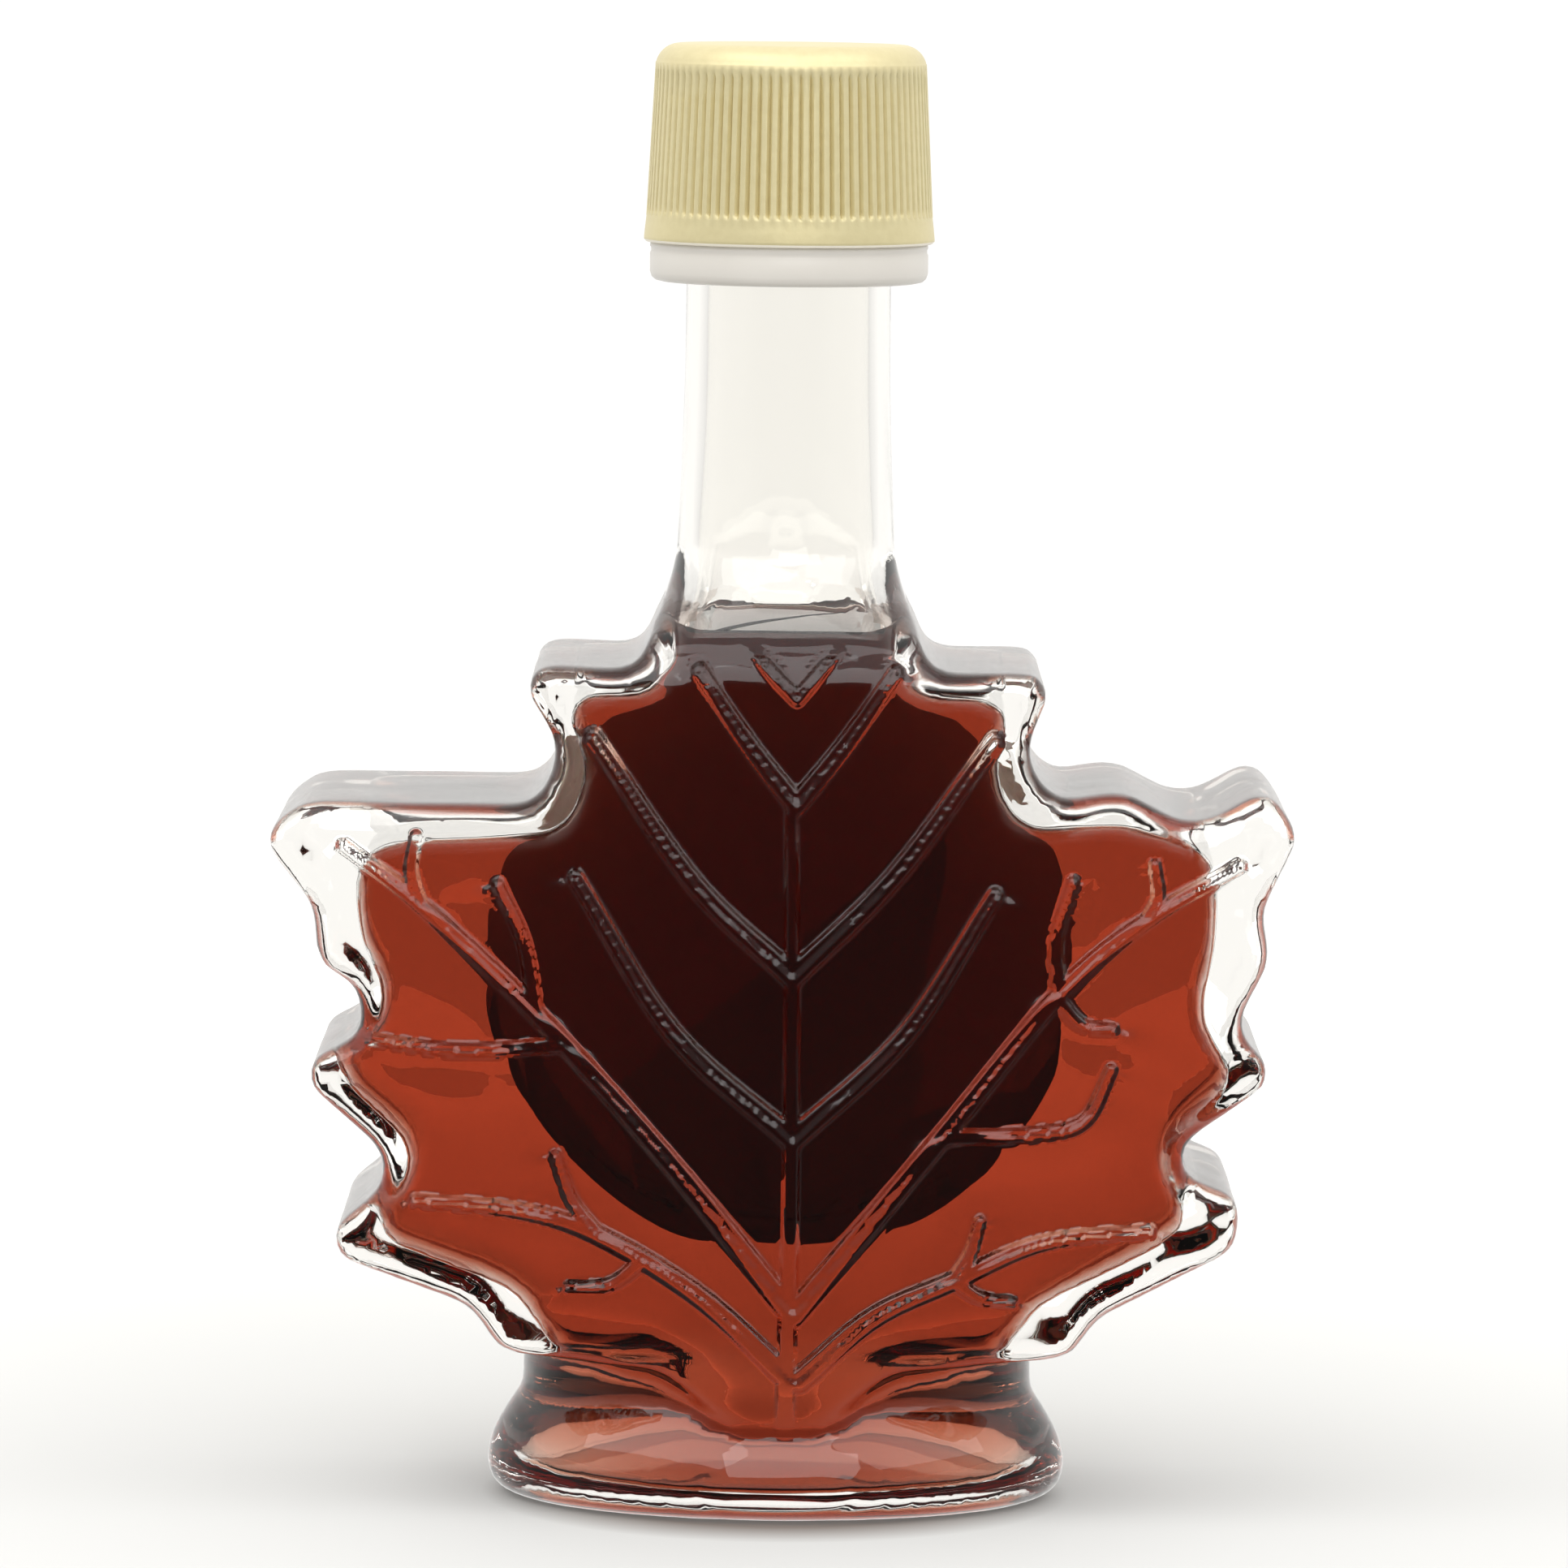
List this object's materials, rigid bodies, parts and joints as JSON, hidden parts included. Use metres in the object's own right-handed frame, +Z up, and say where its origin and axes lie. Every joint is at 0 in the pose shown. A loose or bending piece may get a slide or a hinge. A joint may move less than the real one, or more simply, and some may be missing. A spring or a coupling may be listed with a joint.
{
  "type": "maple syrup bottle",
  "caption": "Clear glass bottle in the shape of a maple leaf on an oval foot, filled with dark amber syrup, with a tall neck, a ribbed gold screw cap and a plain round label on the back.",
  "frame": {"origin": "middle of the foot's underside, on the surface that the bottle stands on", "axes": "+Z up through the neck, the leaf's front face and its raised veins face -Y, +X to the right as seen from the front"},
  "size_m": [0.116, 0.048, 0.167],
  "materials": {
    "clear_glass": "clear, thick and slightly wavy",
    "amber_syrup": "dark amber liquid, clear",
    "gold_cap": "satin gold plastic with fine ribs",
    "white_plastic": "milky, slightly see-through plastic",
    "label_paper": "plain cream paper"
  },
  "bodies": {
    "root": {"bottle": "clear_glass", "syrup": "amber_syrup", "cap": "gold_cap", "tamper_ring": "white_plastic", "back_label": "label_paper"}
  },
  "joints": []
}
